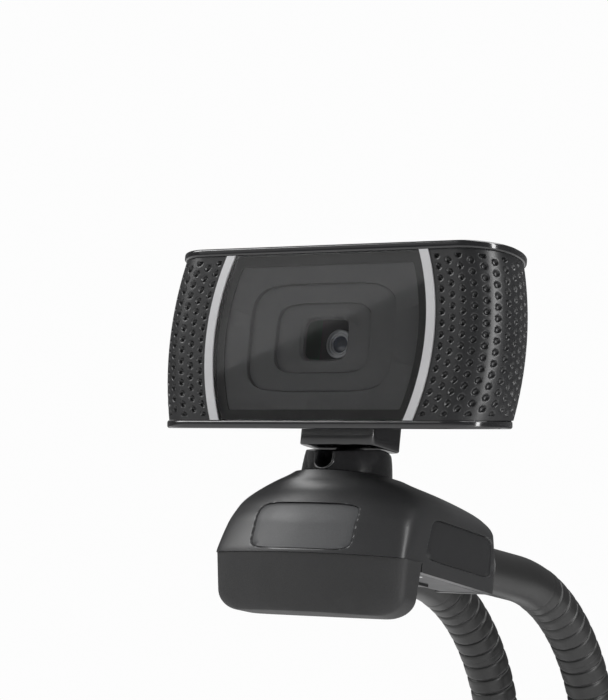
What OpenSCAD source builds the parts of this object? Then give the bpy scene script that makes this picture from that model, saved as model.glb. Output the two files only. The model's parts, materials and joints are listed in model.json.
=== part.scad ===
// A webcam head on a turning and tilting neck, over a saddle base that hooks on a screen's top edge.
// The base has a front lip and two bendable legs: lip and legs clamp a screen or stand as a tripod.
// Millimetres. Origin: centre of the neck's turning axis, on the flat underside of the seat pad.
// +Z up, -Y the way the camera looks, +X to the right of someone facing its window.

/* [Head] */
// Width of the head across its bulging sides
head_w = 70; // [62:0.5:80]
// Depth of the head from window to back
head_d = 22; // [20:0.5:26]
// Height of the head's body between its caps
body_h = 29.4; // [26:0.1:34]
// How far each side bulges out at mid height
side_bulge = 1.85; // [1:0.05:2.5]
// Plan radius of the head's front corners
front_r = 7; // [5:0.5:8]
// Wall of the head's mouldings
head_wall = 1.5; // [1.2:0.1:2]
// Thickness of the top and bottom caps
cap_t = 1.4; // [1:0.1:2]
// How far the caps stand out past the body
cap_lip = 0.4; // [0.2:0.1:0.8]
// Slope of the bottom cap up towards the back, in degrees
cap_slope = 10; // [4:1:12]
// How far the window stands in front of the turning axis
head_reach = 13.3; // [12:0.1:15]

/* [Face] */
// Half width of the silver arcs' outer edge at mid height
arc_x = 23.45; // [21:0.05:25]
// How far the arcs bow out between their ends and mid height
arc_bow = 2.73; // [1.5:0.01:3.5]
// Width of each silver arc
arc_w = 1.65; // [1:0.05:2.2]
// How far the silver arcs stand proud of the window
arc_proud = 0.25; // [0.1:0.05:0.5]
// Thickness of the clear window
window_t = 1; // [0.8:0.1:1.5]
// Half width and half height of the outer step
step_a = [14.9, 9.55]; // [8:0.05:16]
// Half width and half height of the inner step
step_b = [9.75, 6.2]; // [5:0.05:12]
// Half width and half height of the lens opening
aperture = [4.55, 3.6]; // [3:0.05:5]
// Drop of each step
step_t = 0.6; // [0.4:0.1:0.8]

/* [Camera] */
// Radius of the lens barrel
lens_r = 2.6; // [2.2:0.1:3]
// Length of the lens barrel
lens_l = 4.6; // [4:0.1:5.2]
// Depth of the lens barrel's front behind the window's face
lens_depth = 7.1; // [6.4:0.1:7.6]
// Width and height of the circuit board
board = [25, 21]; // [20:0.5:26]
// Thickness of the circuit board
board_t = 1; // [0.8:0.1:1.6]
// Depth of the board's front face behind the window's face
board_depth = 13.2; // [12.8:0.1:14]
// Radius of the microphone capsule
mic_r = 2; // [1.5:0.1:3]
// Radius of the snapshot button
button_r = 3.3; // [2.5:0.1:4]
// How far the button stands up from the top cap
button_proud = 0.6; // [0.5:0.05:0.9]
// Travel of the snapshot button
button_travel = 0.45; // [0.3:0.05:0.5]
// Radius of the cable grommet's bore
cable_r = 1.6; // [1.2:0.1:2]

/* [Neck] */
// Width of the collar block under the head
collar_w = 15.3; // [13:0.1:17]
// Depth of the collar block
collar_d = 9.5; // [8:0.1:11]
// Height of the collar block at the front of the head
collar_h = 2.7; // [2:0.1:6]
// Height of the collar block's underside above the hood
neck_h = 5; // [4.8:0.1:6]
// Radius of the turret's foot
turret_r = 8; // [7:0.1:9]
// Radius of the turret at its shoulder
turret_top_r = 7.4; // [6.8:0.1:8]
// Width of the slot that the head's lug tilts in
slot_w = 3.3; // [2.6:0.1:4]
// Radius of the tilt pin
pin_r = 0.9; // [0.7:0.05:1.2]
// Radius of the turret's spigot
spigot_r = 3.5; // [3:0.1:4]

/* [Base] */
// Height of the hood's top above the seat
hood_h = 17; // [16.8:0.1:17.4]
// Half width of the hood at its crease
hood_x = 19.8; // [18:0.1:22]
// Distance from the turning axis to the front of the hood
hood_front = 13.8; // [12.5:0.1:15]
// Distance from the turning axis to the ends of the arms
arm_y = 28; // [25:0.5:34]
// Half width of the hood at the ends of the arms
arm_x = 15.5; // [15.2:0.1:17]
// Height of the crease above the seat
crease_z = 2.1; // [1.8:0.1:3]
// Bow radius of the hood's front in plan
bow_r = 52; // [40:1:70]
// Wall of the hood
hood_wall = 1.7; // [1.4:0.1:2.2]
// Depth of the label and side panel recesses
recess = 0.7; // [0.4:0.1:0.9]
// How far the front lip hangs below the seat
lip_drop = 7.7; // [7:0.1:12]
// Distance from the turning axis to the back of the front lip
lip_back = 3.2; // [2.9:0.1:4]
// Thickness of the rubber pads
pad_t = 0.5; // [0.4:0.05:0.8]

/* [Legs] */
// Distance of each leg from the middle
leg_x = 10.7; // [10:0.1:11]
// Height of the leg's axis where it leaves its arm
leg_z = 5.3; // [5:0.1:5.8]
// Radius of the smooth collar of a leg
leg_r = 4.25; // [3.8:0.05:4.4]
// Straight length of a leg collar outside its arm
leg_straight = 14; // [8:0.5:20]
// Radius of the leg's bend at rest
bend_r = 39; // [34:0.5:50]
// Angle of the smooth collar's own bend, in degrees
collar_bend = 12; // [8:1:14]
// Angle that each ribbed section takes of the bend, in degrees
section_bend = 21.5; // [19:0.5:23]
// Radius over the ribs
rib_r = 4.3; // [3.9:0.05:4.5]
// Radius of the rubber between the ribs
core_r = 3.7; // [3.5:0.05:3.9]
// Radius of the ball at the start of each section
ball_r = 3.3; // [3.1:0.05:3.4]
// Radius of the bendable steel wire
wire_r = 1.2; // [0.8:0.1:1.4]
// Length of the rubber foot at the end of a leg
foot_l = 8; // [6:0.5:10]

/* [Fits] */
// Radial clearance of a pin or spigot that turns in its hole
run_gap = 0.05; // [0.02:0.01:0.08]
// Gap between pieces that lie beside each other
seat_gap = 0.1; // [0.05:0.01:0.15]
// Radial gap of a screw in its hole
screw_gap = 0.03; // [0.02:0.01:0.05]

/* [Hidden] */
$fn = 64;

// Head, worked out.
half_w = head_w / 2;
end_w = half_w - side_bulge;
half_h = body_h / 2;
side_r = (half_h * half_h + side_bulge * side_bulge) / (2 * side_bulge);
arc_r = (half_h * half_h + arc_bow * arc_bow) / (2 * arc_bow);
split_y = 16.5;
bezel_y = window_t + 0.3;
bezel_t = 2.6;
chassis_y = bezel_y + bezel_t + seat_gap;
chassis_t = 1.4;
chassis_x = half_w - side_bulge - head_wall - 1.6;
post_x = 15.5;
post_r = 2.2;
plate_x = post_x - post_r - 0.4;
board_post = [10.3, 8.3];
button_y = 12;
grommet_z = -3.5;
mic_at = [27, -6];
shell_screw_r = 0.9;
small_screw_r = 0.7;

// Snapshot button stack, heights from the head's middle.
flange_top = half_h - seat_gap;
flange_t = 0.8;
shelf_t = 0.8;
shelf_top = board[1] / 2 + shelf_t + seat_gap;
stem_foot = shelf_top - 0.2 + button_travel + seat_gap;

// Neck, worked out.
collar_z = hood_h + neck_h;
head_z = collar_z + collar_h + half_h;
turn_gap = 0.12;
lug_r = 2.6;
lug_w = slot_w - 0.3;
pin_z = collar_z - lug_r;
pocket_z = pin_z - lug_r - 0.5;
slot_z = hood_h + 1.85;
// Turret's flat top, and the two slopes of its roof that let the collar tilt.
turret_top = collar_z - seat_gap;
roof_slope = 12.3;
roof_r = lug_r - seat_gap / 2;
boss_z = hood_h - 6.4;
washer_t = 0.6;

// Legs, worked out.
section_l = bend_r * section_bend * PI / 180;
neck_l = 2.1;
neck_r = 2.2;
rib_n = 4;
section_n = 3;
cup_gap = 0.06;
wire_gap = 0.05;
step = 0.06;
leg_y = arm_y + leg_straight;
leg_start = arm_y - 15;
flange_lip = 0.5;
flange_l = 2.5;

// ---------- Plan shapes of the head ----------

// Quarter of a disc: towards +X, and towards +Y or -Y as up says.
module quarter_disc(r, up) {
    intersection() {
        circle(r = r);
        translate([0, up ? 0 : -r - 1]) square(r + 1);
    }
}

// Right half of the head's plan from x0 outwards: a front corner, and a larger back corner.
module half_plan(half, depth, x0, grow = 0) {
    back_r = depth - front_r;
    translate([half - front_r, front_r]) quarter_disc(front_r + grow, false);
    translate([half - back_r, front_r]) quarter_disc(back_r + grow, true);
    translate([x0, -grow]) square([half - front_r - x0, front_r + grow]);
    if (half - back_r > x0) translate([x0, front_r]) square([half - back_r - x0, back_r + grow]);
}

// Whole plan outline of the head.
module head_plan(half, depth, grow = 0) {
    half_plan(half, depth, 0, grow);
    mirror([1, 0]) half_plan(half, depth, 0, grow);
}

// Sweeps what is drawn, a part of the right half of the plan, round the axis of the side's bulge.
module bulge_sweep() {
    sweep = 30;
    translate([half_w - side_r, 0, 0]) rotate([-90, 0, 0]) rotate([0, 0, -sweep])
        rotate_extrude(angle = 2 * sweep, $fn = 180)
            translate([side_r - half_w, 0]) children();
}

// The space between the two caps; drop opens it past them.
module between_caps(drop = 0) {
    intersection() {
        translate([-head_w, -head_d, -body_h]) cube([2 * head_w, 3 * head_d, body_h + half_h + drop]);
        translate([0, 0, -half_h - drop]) rotate([cap_slope, 0, 0])
            translate([-head_w, -head_d, 0]) cube([2 * head_w, 3 * head_d, 2 * body_h]);
    }
}

// Right side of the head's wall between two depths, from x0 outwards, not yet cut for the caps.
module side_wall(x0, y0, y1) {
    bulge_sweep() intersection() {
        difference() {
            half_plan(half_w, head_d, x0);
            half_plan(half_w, head_d, x0 - 1, -head_wall);
        }
        translate([x0, y0]) square([half_w, y1 - y0]);
    }
}

// Disc whose edge is the arcs' curve on the right, cut through the front; inset moves it inwards.
module arc_disc(inset, depth) {
    translate([arc_x - arc_r, -1, 0]) rotate([-90, 0, 0])
        cylinder(r = arc_r - inset, h = depth + 1, $fn = 240);
}

// The lens-shaped face area between the arcs.
module face_area(inset, y0, t) {
    intersection() {
        arc_disc(inset, 40);
        mirror([1, 0, 0]) arc_disc(inset, 40);
        translate([-half_w, y0, -half_h + inset - arc_w + 0.02])
            cube([head_w, t, body_h - 2 * (inset - arc_w) - 0.04]);
        between_caps();
    }
}

// Rounded rectangle with slightly bowed sides, as a superellipse.
function barrel_points(half, n = 5, steps = 72) = [
    for (i = [0 : steps - 1])
        let (a = 360 * i / steps, c = cos(a), s = sin(a))
            [half[0] * sign(c) * pow(abs(c), 2 / n), half[1] * sign(s) * pow(abs(s), 2 / n)]
];

// That outline as a block from y0 back through t.
module barrel_block(half, y0, t) {
    translate([0, y0 + t, 0]) rotate([90, 0, 0]) linear_extrude(t) polygon(barrel_points(half));
}

// Rod along +Y from y0, of length l.
module rod_y(r, y0, l) {
    translate([0, y0, 0]) rotate([-90, 0, 0]) cylinder(r = r, h = l);
}

// Puts the head's own frame, with its origin in the middle of the window's face, in the part's.
module in_head() {
    translate([0, -head_reach, head_z]) children();
}

// ---------- Head ----------

module front_window() color("#2a2c30", 0.4) in_head()
    face_area(arc_w + 0.04, 0, window_t);

module window_border() color("#060607") in_head()
    difference() {
        face_area(arc_w + 0.04, window_t + 0.02, 0.26);
        barrel_block([17.7, 12.2], 0, 5);
    }

module stepped_bezel() color("#2b2c2f") in_head()
    difference() {
        face_area(arc_w + 0.3, bezel_y, bezel_t);
        barrel_block(step_a, bezel_y - 1, 1 + step_t);
        barrel_block(step_b, bezel_y - 1, 1 + 2 * step_t);
        barrel_block(aperture, 0, 10);
    }

// Silver arc of the right side.
module silver_arc() {
    difference() {
        intersection() {
            translate([arc_x - arc_r, 0, 0]) rod_y(arc_r, -arc_proud, chassis_y - 0.1 + arc_proud, $fn = 240);
            translate([1, -arc_proud, 0.02 - half_h])
                cube([half_w, chassis_y - 0.1 + arc_proud, body_h - 0.04]);
            between_caps();
        }
        arc_disc(arc_w, 40);
    }
}

module right_silver_arc() color("#e9e9e9") in_head() silver_arc();

module left_silver_arc() color("#e9e9e9") in_head() mirror([1, 0, 0]) silver_arc();

// Side panel of the right side: wall from the silver arc round to the back shell.
module side_panel() {
    difference() {
        intersection() {
            side_wall(17, -1, split_y);
            between_caps();
        }
        arc_disc(-0.05, 40);
    }
}

module right_side_panel() color("#1c1d1f") in_head()
    difference() {
        side_panel();
        translate([mic_at[0], 0, mic_at[1]]) rod_y(0.5, -1, 6);
    }

module left_side_panel() color("#1c1d1f") in_head() mirror([1, 0, 0]) side_panel();

// Cap plate with a small shoulder all round its outer face.
module cap_plate(depth) {
    linear_extrude(cap_t - 0.35) head_plan(end_w, depth, cap_lip);
    translate([0, 0, cap_t - 0.36]) linear_extrude(0.36) head_plan(end_w, depth, cap_lip - 0.3);
}

module top_cap() color("#0b0b0c") in_head()
    difference() {
        translate([0, 0, half_h + 0.02]) cap_plate(head_d);
        translate([0, button_y, half_h - 1]) cylinder(r = button_r + seat_gap, h = cap_t + 2);
    }

// Holes through the bottom cap and the collar for the bracket screws, upright.
module bracket_holes(r) {
    for (s = [-1, 1])
        translate([s * 5.6, 0, collar_z + 0.9]) cylinder(r = r, h = 8);
}

module bottom_cap() color("#0b0b0c")
    difference() {
        in_head() translate([0, 0, -half_h - 0.02]) rotate([cap_slope, 0, 0]) mirror([0, 0, 1])
            cap_plate(head_d / cos(cap_slope));
        bracket_holes(small_screw_r + screw_gap);
    }

module rear_shell() color("#151617") in_head()
    difference() {
        intersection() {
            union() {
                side_wall(plate_x - 1, split_y + 0.05, head_d + 1);
                mirror([1, 0, 0]) side_wall(plate_x - 1, split_y + 0.05, head_d + 1);
                translate([-plate_x, head_d - head_wall - step, -body_h])
                    cube([2 * plate_x, head_wall, 2 * body_h]);
            }
            between_caps();
        }
        for (s = [-1, 1])
            translate([s * post_x, 0, 0]) {
                rod_y(shell_screw_r + screw_gap, split_y, head_d);
                rod_y(2, head_d - 0.7, 5);
            }
        translate([0, 0, grommet_z]) rod_y(cable_r + 1.2 + seat_gap, split_y, head_d);
    }

// Board posts and shell posts stand on the back of a frame that holds every front piece.
module inner_chassis() color("#3a3b3d") in_head()
    difference() {
        union() {
            translate([-chassis_x, chassis_y, -half_h + 1.3]) cube([2 * chassis_x, chassis_t, body_h - 1.5]);
            for (s = [-1, 1]) {
                translate([s * post_x, 0, 0])
                    rod_y(post_r, chassis_y, head_d - head_wall - seat_gap - chassis_y);
                translate([s * board_post[0], 0, -board_post[1]])
                    rod_y(1.5, chassis_y, board_depth - chassis_y);
                translate([s * 7 - 1, chassis_y, shelf_top - shelf_t])
                    cube([2, button_y + 3 - chassis_y, shelf_t]);
            }
            translate([-6, button_y - 3, shelf_top - shelf_t]) cube([12, 6, shelf_t]);
        }
        barrel_block([aperture[0] + 3, aperture[1] + 3], 0, chassis_y + chassis_t + 0.1);
        translate([0, button_y, 0]) cylinder(r = 1.3, h = body_h);
        translate([mic_at[0], 0, mic_at[1]]) rod_y(mic_r + screw_gap, 0, 10);
        for (s = [-1, 1]) {
            translate([s * post_x, 0, 0]) rod_y(shell_screw_r + screw_gap, 12, head_d);
            translate([s * board_post[0], 0, -board_post[1]])
                rod_y(small_screw_r + screw_gap, board_depth - 3.2, 5);
        }
    }

module lens_barrel() color("#b9bcc0") in_head()
    difference() {
        rod_y(lens_r, lens_depth, lens_l);
        rod_y(lens_r - 0.85, lens_depth - 1, 1.9);
        rod_y(lens_r - 1.2, lens_depth - 1, lens_l + 2);
        rod_y(lens_r - 0.6, lens_depth + lens_l - 1.4, 2);
    }

// Front lens element: a disc with a domed front.
module lens_front_element() color("#5a6670", 0.6) in_head()
    intersection() {
        rod_y(lens_r - 0.85 - screw_gap, lens_depth + 0.2, 0.68);
        translate([0, lens_depth + 0.2 + 3, 0]) sphere(r = 3, $fn = 96);
    }

module lens_rear_element() color("#5a6670", 0.6) in_head()
    rod_y(lens_r - 0.6 - screw_gap, lens_depth + lens_l - 1.38, 0.9);

module infrared_filter() color("#7a4046", 0.6) in_head()
    translate([-2.4, lens_depth + lens_l + 0.15, -2.4]) cube([4.8, 0.3, 4.8]);

module image_sensor() color("#26303a") in_head()
    translate([-2.6, board_depth - 0.82, -2.6]) cube([5.2, 0.8, 5.2]);

// Square holder on the board: threaded bore for the barrel, chamber over the sensor.
module lens_holder() color("#161617") in_head()
    difference() {
        translate([-4.5, lens_depth + 1.2, -4.5])
            cube([9, board_depth - 0.02 - lens_depth - 1.2, 9]);
        rod_y(lens_r + screw_gap, lens_depth, lens_l + 0.1);
        translate([-2.75, lens_depth + lens_l, -2.75]) cube([5.5, 5, 5.5]);
    }

module circuit_board() color("#1f5a3a") in_head()
    difference() {
        translate([-board[0] / 2, board_depth, -board[1] / 2]) cube([board[0], board_t, board[1]]);
        for (s = [-1, 1])
            translate([s * board_post[0], 0, -board_post[1]])
                rod_y(small_screw_r + screw_gap, board_depth - 1, board_t + 2);
    }

// Cross-recess screw along +Y: tip at y0, head's seat at y1.
module screw_y(r, y0, y1, head_r, head_h) {
    difference() {
        union() {
            rod_y(r, y0, y1 - y0);
            rod_y(head_r, y1, head_h);
        }
        for (a = [0, 90])
            rotate([0, a, 0]) translate([-head_r * 0.6, y1 + head_h * 0.5, -0.2])
                cube([head_r * 1.2, head_h, 0.4]);
    }
}

module board_screws() color("silver") in_head()
    for (s = [-1, 1])
        translate([s * board_post[0], 0, -board_post[1]])
            screw_y(small_screw_r, board_depth - 3, board_depth + board_t, 1.4, 0.9);

module shell_screws() color("silver") in_head()
    for (s = [-1, 1])
        translate([s * post_x, 0, 0])
            screw_y(shell_screw_r, head_d - 7, head_d - 0.7, 1.7, 0.68);

module microphone() color("#c8c8c8") in_head()
    translate([mic_at[0], 0, mic_at[1]]) difference() {
        rod_y(mic_r, head_wall + 0.6, 2.6 + bezel_y);
        rod_y(0.4, head_wall, 0.9);
    }

module snapshot_switch() color("#4a4a4a") in_head() {
    translate([-3, board_depth - 3.02, board[1] / 2 - 4.2]) cube([6, 3, 4]);
    translate([0, button_y, board[1] / 2 - 0.3]) cylinder(r = 0.9, h = shelf_top - 0.2 - board[1] / 2 + 0.3);
}

// Button with a flange under the cap and a stem over the switch.
module snapshot_button() color("#1a1a1b") in_head()
    translate([0, button_y, 0]) {
        translate([0, 0, flange_top - 0.1])
            cylinder(r = button_r, h = half_h + cap_t + button_proud - flange_top - 0.1);
        translate([0, 0, half_h + cap_t + button_proud - 0.21]) cylinder(r = button_r - 0.3, h = 0.21);
        translate([0, 0, flange_top - flange_t]) cylinder(r = button_r + 0.6, h = flange_t);
        translate([0, 0, stem_foot]) cylinder(r = 1.05, h = flange_top - stem_foot);
    }

// Return spring under the button's flange, as stacked turns joined by a thin sleeve.
module button_spring() color("silver") in_head()
    translate([0, button_y, shelf_top + 0.02]) {
        spring_l = flange_top - flange_t - shelf_top - 0.04;
        difference() {
            union() {
                cylinder(r = 2.1, h = spring_l);
                for (i = [0 : 3])
                    translate([0, 0, i * spring_l / 4 + 0.05]) cylinder(r = 2.4, h = spring_l / 8);
            }
            translate([0, 0, -1]) cylinder(r = 1.7, h = spring_l + 2);
        }
    }

module cable_connector() color("#e8e4d8") in_head()
    translate([-4, board_depth + board_t + 0.02, 3]) difference() {
        cube([8, 3.6, 4.5]);
        translate([0.8, 0.9, 0.8]) cube([6.4, 4, 2.9]);
    }

// Rubber grommet in the back shell, with a flange inside and out.
module cable_grommet() color("#101010") in_head()
    translate([0, 0, grommet_z]) difference() {
        union() {
            rod_y(cable_r + 1.2, head_d - head_wall - 1, head_wall + 1.8);
            rod_y(cable_r + 2, head_d - head_wall - 1, 0.85);
            rod_y(cable_r + 2, head_d + 0.05, 0.9);
        }
        rod_y(cable_r, head_d - 6, 10);
    }

// ---------- Neck ----------

// Collar block under the sloping cap, and the lug that tilts in the turret's slot.
module head_bracket() color("#141415")
    difference() {
        union() {
            intersection() {
                translate([-collar_w / 2, -collar_d / 2, collar_z]) cube([collar_w, collar_d, 8]);
                in_head() translate([0, 0, -half_h - 0.02 - (cap_t + 0.04) / cos(cap_slope)])
                    rotate([cap_slope, 0, 0]) translate([-head_w, -head_d, -20]) cube([2 * head_w, 3 * head_d, 20]);
            }
            translate([-lug_w / 2, -lug_r, pin_z]) cube([lug_w, 2 * lug_r, collar_z - pin_z + 0.5]);
            translate([-lug_w / 2, 0, pin_z]) rotate([0, 90, 0]) cylinder(r = lug_r, h = lug_w);
        }
        translate([-lug_w, 0, pin_z]) rotate([0, 90, 0]) cylinder(r = pin_r + run_gap, h = 2 * lug_w);
        bracket_holes(small_screw_r + screw_gap);
    }

module bracket_screws() color("silver")
    for (s = [-1, 1])
        translate([s * 5.6, 0, 0]) {
            top_z = head_z - half_h + head_reach * tan(cap_slope) + 0.35;
            translate([0, 0, collar_z + 1]) cylinder(r = small_screw_r, h = top_z - collar_z - 0.9);
            translate([0, 0, top_z]) cylinder(r = 1.4, h = 0.9);
        }

module tilt_pin() color("silver")
    translate([-turret_top_r + 0.2, 0, pin_z]) rotate([0, 90, 0])
        cylinder(r = pin_r, h = 2 * turret_top_r - 1.4);

// Tapering round body under a roof that slopes to the front and back, as the collar tilts over it.
module turret_body() {
    foot_z = hood_h + turn_gap;
    intersection() {
        translate([0, 0, foot_z]) rotate_extrude() polygon([
            [0, 0], [turret_r, 0], [turret_r - 0.1, 0.9], [turret_top_r, turret_top - foot_z - 0.4],
            [turret_top_r - 0.4, turret_top - foot_z], [0, turret_top - foot_z]
        ]);
        under_roof(1);
        under_roof(-1);
    }
}

// Everything under one slope of the turret's roof; side is 1 for the slope to the back.
module under_roof(side) {
    translate([0, 0, pin_z]) rotate([side * -roof_slope, 0, 0])
        translate([-head_d, -head_d, -2 * head_d]) cube([2 * head_d, 2 * head_d, 2 * head_d + roof_r]);
}

// Turret with a U slot open to the front and top, a blind pin bore, and a spigot into the hood.
module turret() color("#141415")
    difference() {
        union() {
            turret_body();
            translate([0, 0, boss_z - seat_gap]) cylinder(r = spigot_r, h = hood_h - boss_z + 1);
        }
        translate([-slot_w / 2, 3 - turret_r, pocket_z]) cube([slot_w, turret_r + 2, 10]);
        translate([0, 4 - turret_r, slot_z]) rotate([90, 0, 0]) cylinder(r = slot_w / 2, h = turret_r);
        translate([-slot_w / 2, -turret_r - 1, slot_z]) cube([slot_w, 6, 10]);
        translate([-turret_r - 1, 0, pin_z]) rotate([0, 90, 0])
            cylinder(r = pin_r + screw_gap, h = turret_r + turret_top_r);
        translate([0, 0, boss_z - 1]) cylinder(r = 1.2 + screw_gap, h = 5.9);
    }

module swivel_washer() color("silver")
    translate([0, 0, boss_z - seat_gap - washer_t - 0.02]) difference() {
        cylinder(r = spigot_r + 1, h = washer_t);
        translate([0, 0, -1]) cylinder(r = 1.2 + screw_gap, h = washer_t + 2);
    }

module swivel_screw() color("silver")
    translate([0, 0, boss_z - seat_gap - washer_t - 0.04]) difference() {
        union() {
            cylinder(r = 1.2, h = 5.2);
            mirror([0, 0, 1]) cylinder(r = 2.4, h = 1.4);
        }
        for (a = [0, 90])
            rotate([0, 0, a]) translate([-1.5, -0.25, -2]) cube([3, 0.5, 1.3]);
    }

// ---------- Base ----------

// Plan of the hood at one height: bowed front, sides that narrow to the back.
module hood_plan(front, x_front, x_back, back, bow = bow_r) {
    intersection() {
        translate([0, bow - front]) circle(r = bow, $fn = 180);
        polygon([
            [-x_front, -front - 1], [x_front, -front - 1], [x_front, 4 - front],
            [x_back, back], [-x_back, back], [-x_front, 4 - front]
        ]);
    }
}

// Outer shape of the hood, moved inwards by d on every side.
module hood_hull(d = 0) {
    hull() {
        translate([0, 0, pad_t + 0.02 - 2 * d]) linear_extrude(crease_z - pad_t + 2 * d)
            hood_plan(hood_front - d, hood_x - d, arm_x - d, arm_y - d, bow_r - d);
        translate([0, 0, 0.49 * hood_h - d]) linear_extrude(0.1)
            hood_plan(hood_front - 1.1 - d, hood_x - 0.2 - d, arm_x - 0.1 - d, arm_y - d, 0.75 * bow_r - d);
        translate([0, 0, 0.69 * hood_h - d]) linear_extrude(0.1)
            hood_plan(hood_front - 3 - d, hood_x - 0.7 - d, arm_x - 0.3 - d, arm_y - 0.1 - d, 0.69 * bow_r - d);
        translate([0, 0, 0.83 * hood_h - d]) linear_extrude(0.1)
            hood_plan(hood_front - 4.6 - d, hood_x - 2 - d, arm_x - 3.2 - d, arm_y - 1 - d, 0.52 * bow_r - d);
        translate([0, 2, 0.96 * hood_h - d]) cylinder(r = 1.5 * turret_r - d, h = 0.1);
        translate([0, 0, hood_h - 0.2 - d]) cylinder(r = turret_r + 1.3 - d, h = 0.2);
    }
}

// Where the label plate lies on the front of the hood; gap shrinks it on every side.
module label_area(gap = 0) {
    translate([0, -hood_front - 5, 6.8]) rotate([-90, 0, 0]) linear_extrude(12)
        polygon(barrel_points([10.4 - gap, 4.1 - gap], 7));
}

// Where the panel lies on the right side of the hood.
module arm_area(gap = 0) {
    translate([5, 0, 0]) rotate([0, 90, 0]) linear_extrude(30) offset(delta = -gap)
        polygon([[-3, -2.7], [-8.7, -0.9], [-9.8, 0.6], [-10.2, 3], [-9.8, 26], [-3, 26]]);
}

// Gap between the two arms, grown by g.
module arm_gap(g = 0) {
    translate([-3.9 - g, 17.5 - g, -5]) cube([7.8 + 2 * g, 40, 40]);
}

// Screw places in the base: two beside the neck and one behind it.
module at_base_screws() {
    for (p = [[-hood_x + 6.3, 3], [hood_x - 6.3, 3], [0, 12.2]])
        translate([p[0], p[1], 0]) children();
}

// Space that the two leg collars and their flanges take up in the base.
module leg_spaces() {
    for (s = [-1, 1])
        translate([s * leg_x, 0, leg_z]) {
            rod_y(leg_r + screw_gap, leg_start, 2 * arm_y);
            rod_y(leg_r + flange_lip + screw_gap, leg_start - seat_gap, flange_l + 2 * seat_gap);
        }
}

module hood() color("#2e2f31")
    difference() {
        union() {
            difference() {
                hood_hull();
                arm_gap();
                difference() {
                    hood_hull(hood_wall);
                    arm_gap(hood_wall);
                }
                translate([-hood_x, -hood_front - 1, -1])
                    cube([2 * hood_x, hood_front + 1 - lip_back, crease_z + 1]);
            }
            intersection() {
                union() {
                    translate([0, 0, boss_z]) cylinder(r = spigot_r + 2, h = hood_h - boss_z);
                    translate([0, 0, 2.3]) at_base_screws() cylinder(r = 2, h = hood_h);
                }
                hood_hull(hood_wall / 2);
            }
        }
        difference() {
            union() {
                label_area();
                arm_area();
                mirror([1, 0, 0]) arm_area();
            }
            hood_hull(recess);
        }
        translate([0, 0, boss_z - 1]) cylinder(r = spigot_r + run_gap, h = hood_h);
        at_base_screws() translate([0, 0, 1]) cylinder(r = shell_screw_r + screw_gap, h = 8);
        leg_spaces();
    }

// Inlaid plate of thickness t in a recess whose area is drawn by the child.
module inlay(t) {
    difference() {
        intersection() {
            hood_hull(recess - 0.04 - t);
            children();
        }
        hood_hull(recess - 0.04);
    }
}

module label_plate() color("#4a4b4e") inlay(0.45) label_area(seat_gap);

module right_arm_panel() color("#1d1e20") inlay(0.4) arm_area(seat_gap);

module left_arm_panel() color("#1d1e20") mirror([1, 0, 0]) inlay(0.4) arm_area(seat_gap);

// Front lip: hangs from the crease, narrows downwards and leans back, with round lower corners.
module front_lip() color("#17181a") {
    corner = 4;
    drop = lip_drop - corner;
    difference() {
        hull() {
            intersection() {
                translate([0, 0, -1]) linear_extrude(crease_z + 0.95)
                    hood_plan(hood_front - 0.15, hood_x - 0.15, arm_x, arm_y);
                translate([-hood_x, -hood_front - 5, -5]) cube([2 * hood_x, hood_front + 5 - lip_back, 10]);
            }
            for (s = [-1, 1])
                translate([s * (hood_x - 2.6 - corner), -lip_back, -drop]) rotate([90, 0, 0])
                    cylinder(r = corner, h = hood_front - lip_back - 4.2);
            translate([-8, -hood_front + 1.7, -lip_drop + 1.2]) cube([16, 1, 1]);
        }
        translate([-hood_x, -lip_back - 0.02, -20]) cube([2 * hood_x, 10, 40]);
    }
}

module lip_pad() color("#0d0d0d")
    translate([-11, -lip_back, -lip_drop + 1.4]) cube([22, pad_t, lip_drop - 1.6]);

module base_plate() color("#1a1b1c")
    difference() {
        intersection() {
            translate([-hood_x, -lip_back + pad_t + 0.2, pad_t + 0.02]) cube([2 * hood_x, arm_y, 1.55]);
            hood_hull(hood_wall + seat_gap);
        }
        arm_gap(hood_wall + seat_gap);
        leg_spaces();
        at_base_screws() {
            cylinder(r = shell_screw_r + screw_gap, h = 10);
            cylinder(r = 1.8, h = pad_t + 0.8);
        }
    }

module seat_pad() color("#0d0d0d")
    difference() {
        translate([-9.5, -1.6, 0]) cube([19, 16.4, pad_t]);
        translate([0, 12.2, -1]) cylinder(r = 2.4, h = 3);
    }

module base_screws() color("silver")
    at_base_screws() translate([0, 0, pad_t]) {
        difference() {
            cylinder(r = 1.7, h = 0.78);
            for (a = [0, 90])
                rotate([0, 0, a]) translate([-1.1, -0.2, -1]) cube([2.2, 0.4, 1.4]);
        }
        translate([0, 0, 0.7]) cylinder(r = shell_screw_r, h = 6);
    }

// ---------- Legs ----------
// Each leg leaves its arm along +Y, then follows one arc down. Angles are measured round that arc.

// Puts what is drawn on the arc's axis, at the start of the arc, at an angle along it.
module on_arc(angle) {
    translate([0, 0, -bend_r]) rotate([-angle, 0, 0]) translate([0, 0, bend_r]) children();
}

// Curved rod along the arc between two angles.
module arc_rod(r, a0, a1) {
    translate([0, 0, -bend_r]) rotate([0, 90, 0]) rotate([0, 0, 180 - a1])
        rotate_extrude(angle = a1 - a0, $fn = 180) translate([bend_r, 0]) circle(r = r);
}

// Puts the start of a leg's arc in the part's frame; side is -1 for left, 1 for right.
module in_leg(side) {
    translate([side * leg_x, leg_y, leg_z]) children();
}

function degrees_of(length) = length / bend_r * 180 / PI;

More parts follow.
